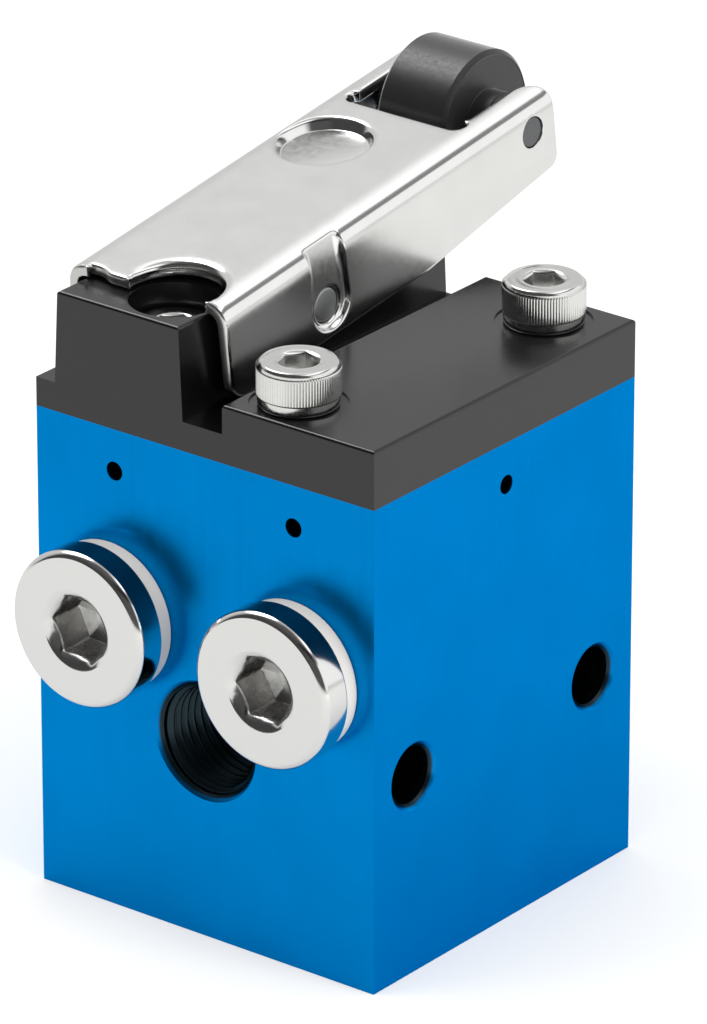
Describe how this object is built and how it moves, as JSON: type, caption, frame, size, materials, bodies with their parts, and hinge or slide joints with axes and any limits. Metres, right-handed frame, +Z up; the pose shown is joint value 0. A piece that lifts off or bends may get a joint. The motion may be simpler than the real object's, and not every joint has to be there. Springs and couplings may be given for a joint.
{
  "type": "roller lever air valve",
  "caption": "Small 3/2 air valve block with a roller lever on top: the pressed lever opens a pilot that shifts the main poppet spindle.",
  "frame": {"origin": "middle of the block's flat bottom face", "axes": "+Z up through the lever, -Y out of the plugged front face, +Y the way the lever reaches, +X out of the side with the tapped mounting holes"},
  "size_m": [0.035, 0.0552, 0.0634],
  "materials": {
    "anodised_aluminium": "satin blue anodised",
    "black_nylon": "satin black moulding",
    "plated_steel": "bright zinc plated",
    "pin_steel": "ground",
    "black_acetal": "matte black",
    "screw_steel": "bright zinc plated",
    "nickel_plate": "polished nickel plate",
    "white_nylon": "plain white",
    "brass": "machined",
    "plain_aluminium": "machined",
    "nitrile": "matte black",
    "spring_steel": "drawn wire"
  },
  "bodies": {
    "valve": {"valve_body": "anodised_aluminium", "actuator_housing": "black_nylon", "cap_screws": "screw_steel", "pivot_pin": "pin_steel", "blanking_plug_left": "nickel_plate", "blanking_plug_right": "nickel_plate", "plug_seal_left": "white_nylon", "plug_seal_right": "white_nylon", "end_plug": "brass", "end_plug_oring": "nitrile", "return_spring": "spring_steel", "guide_bush": "brass", "guide_bush_oring": "nitrile", "spindle_oring": "nitrile", "diaphragm": "nitrile", "plunger_oring": "nitrile", "plunger_spring": "spring_steel", "pilot_seat": "brass", "pilot_seat_oring": "nitrile", "pilot_spring": "spring_steel"},
    "lever": {"lever": "plated_steel", "roller_pin": "pin_steel"},
    "roller": {"roller": "black_acetal"},
    "plunger": {"pilot_plunger": "pin_steel", "pilot_ball": "pin_steel"},
    "spindle": {"valve_spindle": "pin_steel", "lower_poppet": "brass", "lower_poppet_seal": "nitrile", "upper_poppet": "brass", "upper_poppet_seal": "nitrile", "diaphragm_plate": "plain_aluminium"}
  },
  "joints": [
    {"name": "lever_pivot", "type": "hinge", "parent": "valve", "child": "lever", "pos_m": [-0.00875, 0, 0.05045], "axis": [-1, 0, 0], "range_deg": [0, 9], "stiffness_Nm_per_rad": 0.17, "springref_deg": -13.46},
    {"name": "roller_spin", "type": "hinge", "parent": "lever", "child": "roller", "pos_m": [-0.009, 0.02725, 0.05737], "axis": [1, 0, 0], "continuous": true},
    {"name": "plunger_slide", "type": "slide", "parent": "valve", "child": "plunger", "axis": [0, 0, -1], "range_m": [0, 0.00205], "deforming": ["plunger_spring", "pilot_spring"]},
    {"name": "spindle_slide", "type": "slide", "parent": "valve", "child": "spindle", "axis": [0, 0, -1], "range_m": [0, 0.0018], "deforming": ["return_spring", "diaphragm"]}
  ],
  "couplings": [
    {"joint": "plunger_slide", "follows": "lever_pivot", "m_per_rad": 0.013},
    {"joint": "spindle_slide", "follows": "lever_pivot", "m_per_rad": 0.01145}
  ]
}
